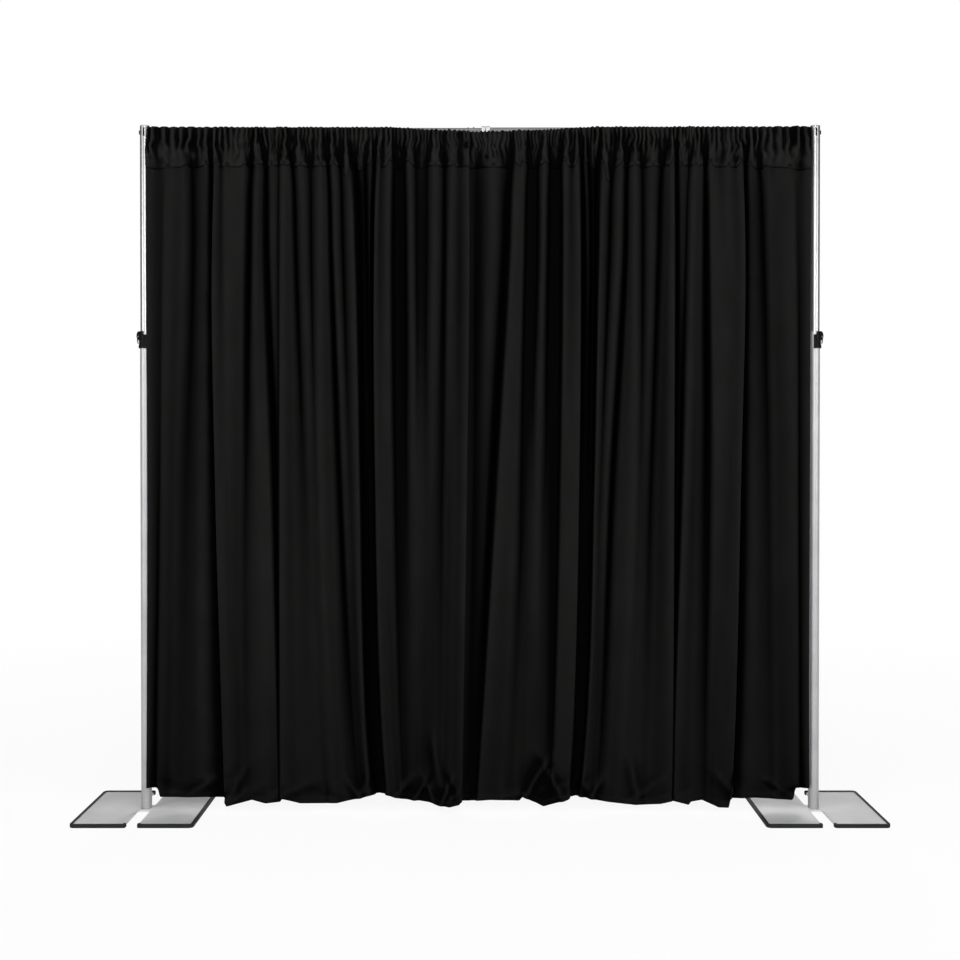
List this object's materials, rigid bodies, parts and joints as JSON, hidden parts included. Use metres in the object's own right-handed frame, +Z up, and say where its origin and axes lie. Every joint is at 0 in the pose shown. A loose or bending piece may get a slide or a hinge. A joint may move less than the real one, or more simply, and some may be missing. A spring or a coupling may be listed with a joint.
{
  "type": "pipe and drape backdrop",
  "caption": "Freestanding backdrop of gathered black drapes on a telescopic crossbar hooked between telescopic uprights that stand on notched steel base plates.",
  "frame": {"origin": "on the floor midway between the two uprights", "axes": "+X along the crossbar to the right, -Y to the front, +Z up"},
  "size_m": [2.8734, 0.435, 2.4973],
  "materials": {
    "tube_metal": "satin clear anodised tube with fine lengthwise grain",
    "cast_metal": "turned, satin",
    "plate_steel": "silver-grey powder coat, satin",
    "zinc_hardware": "zinc plated",
    "black_steel": "black coated steel, satin",
    "black_plastic": "fine moulded grain",
    "edge_rubber": "matt moulded edging",
    "pad_rubber": "matt",
    "black_cloth": "plain woven polyester with a slight sheen"
  },
  "bodies": {
    "left_base": {"left_base_plate": "plate_steel", "left_base_trim_outer": "edge_rubber", "left_base_trim_inner": "edge_rubber", "left_base_pin": "zinc_hardware", "left_base_pin_screw": "zinc_hardware"},
    "left_post": {"left_lower_tube": "tube_metal", "left_clutch_collar": "cast_metal", "left_clutch_shell": "black_plastic", "left_clutch_pad": "pad_rubber", "left_clutch_pin": "zinc_hardware", "left_clutch_screw": "zinc_hardware"},
    "left_mast": {"left_upper_tube": "tube_metal", "left_slotted_head": "tube_metal", "left_top_cap": "cast_metal", "left_guide_bush": "black_plastic"},
    "left_lever": {"left_clutch_lever": "black_plastic"},
    "right_base": {"right_base_plate": "plate_steel", "right_base_trim_outer": "edge_rubber", "right_base_trim_inner": "edge_rubber", "right_base_pin": "zinc_hardware", "right_base_pin_screw": "zinc_hardware"},
    "right_post": {"right_lower_tube": "tube_metal", "right_clutch_collar": "cast_metal", "right_clutch_shell": "black_plastic", "right_clutch_pad": "pad_rubber", "right_clutch_pin": "zinc_hardware", "right_clutch_screw": "zinc_hardware"},
    "right_mast": {"right_upper_tube": "tube_metal", "right_slotted_head": "tube_metal", "right_top_cap": "cast_metal", "right_guide_bush": "black_plastic"},
    "right_lever": {"right_clutch_lever": "black_plastic"},
    "bar_inner": {"crossbar_inner_tube": "tube_metal", "crossbar_plug_left": "black_plastic", "crossbar_hook_left": "black_steel", "crossbar_pin_left": "zinc_hardware", "snap_spring": "zinc_hardware", "snap_spring_rivet": "black_steel", "drape_panel_1": "black_cloth", "drape_panel_2": "black_cloth"},
    "bar_outer": {"crossbar_outer_tube": "tube_metal", "crossbar_plug_right": "black_plastic", "crossbar_hook_right": "black_steel", "crossbar_pin_right": "zinc_hardware", "span_ferrule": "cast_metal", "span_grip_bush": "black_plastic", "drape_panel_3": "black_cloth", "drape_panel_4": "black_cloth"},
    "lock_ring": {"span_lock_ring": "cast_metal"},
    "spring_button": {"snap_button": "black_steel"}
  },
  "joints": [
    {"name": "span", "type": "slide", "parent": "left_base", "child": "right_base", "axis": [1, 0, 0], "range_m": [0, 0.61]},
    {"name": "left_post_lift", "type": "slide", "parent": "left_base", "child": "left_post", "axis": [0, 0, 1], "range_m": [0, 0.085]},
    {"name": "right_post_lift", "type": "slide", "parent": "right_base", "child": "right_post", "axis": [0, 0, 1], "range_m": [0, 0.085]},
    {"name": "height", "type": "slide", "parent": "left_post", "child": "left_mast", "axis": [0, 0, 1], "range_m": [-0.65, 0], "deforming": ["drape_panel_1", "drape_panel_2", "drape_panel_3", "drape_panel_4"]},
    {"name": "right_height", "type": "slide", "parent": "right_post", "child": "right_mast", "axis": [0, 0, 1], "range_m": [-0.65, 0]},
    {"name": "crossbar_lift", "type": "slide", "parent": "left_mast", "child": "bar_inner", "axis": [0, 0, 1], "range_m": [0, 0.006]},
    {"name": "crossbar_telescope", "type": "slide", "parent": "bar_inner", "child": "bar_outer", "axis": [1, 0, 0], "range_m": [0, 0.61]},
    {"name": "span_lock_turn", "type": "hinge", "parent": "bar_outer", "child": "lock_ring", "pos_m": [0.0129, 0, 2.475], "axis": [1, 0, 0], "range_deg": [0, 90]},
    {"name": "spring_button_press", "type": "slide", "parent": "bar_inner", "child": "spring_button", "axis": [0, 0, -1], "range_m": [0, 0.0035], "stiffness_N_per_m": 400, "deforming": ["snap_spring"]},
    {"name": "left_clutch", "type": "hinge", "parent": "left_post", "child": "left_lever", "pos_m": [-1.2439, 0, 1.731], "axis": [0, 1, 0], "range_deg": [0, 110]},
    {"name": "right_clutch", "type": "hinge", "parent": "right_post", "child": "right_lever", "pos_m": [1.2439, 0, 1.731], "axis": [0, -1, 0], "range_deg": [0, 110]}
  ],
  "couplings": [
    {"joint": "crossbar_telescope", "follows": "span", "ratio": 1},
    {"joint": "right_post_lift", "follows": "left_post_lift", "ratio": 1},
    {"joint": "right_height", "follows": "height", "ratio": 1}
  ]
}
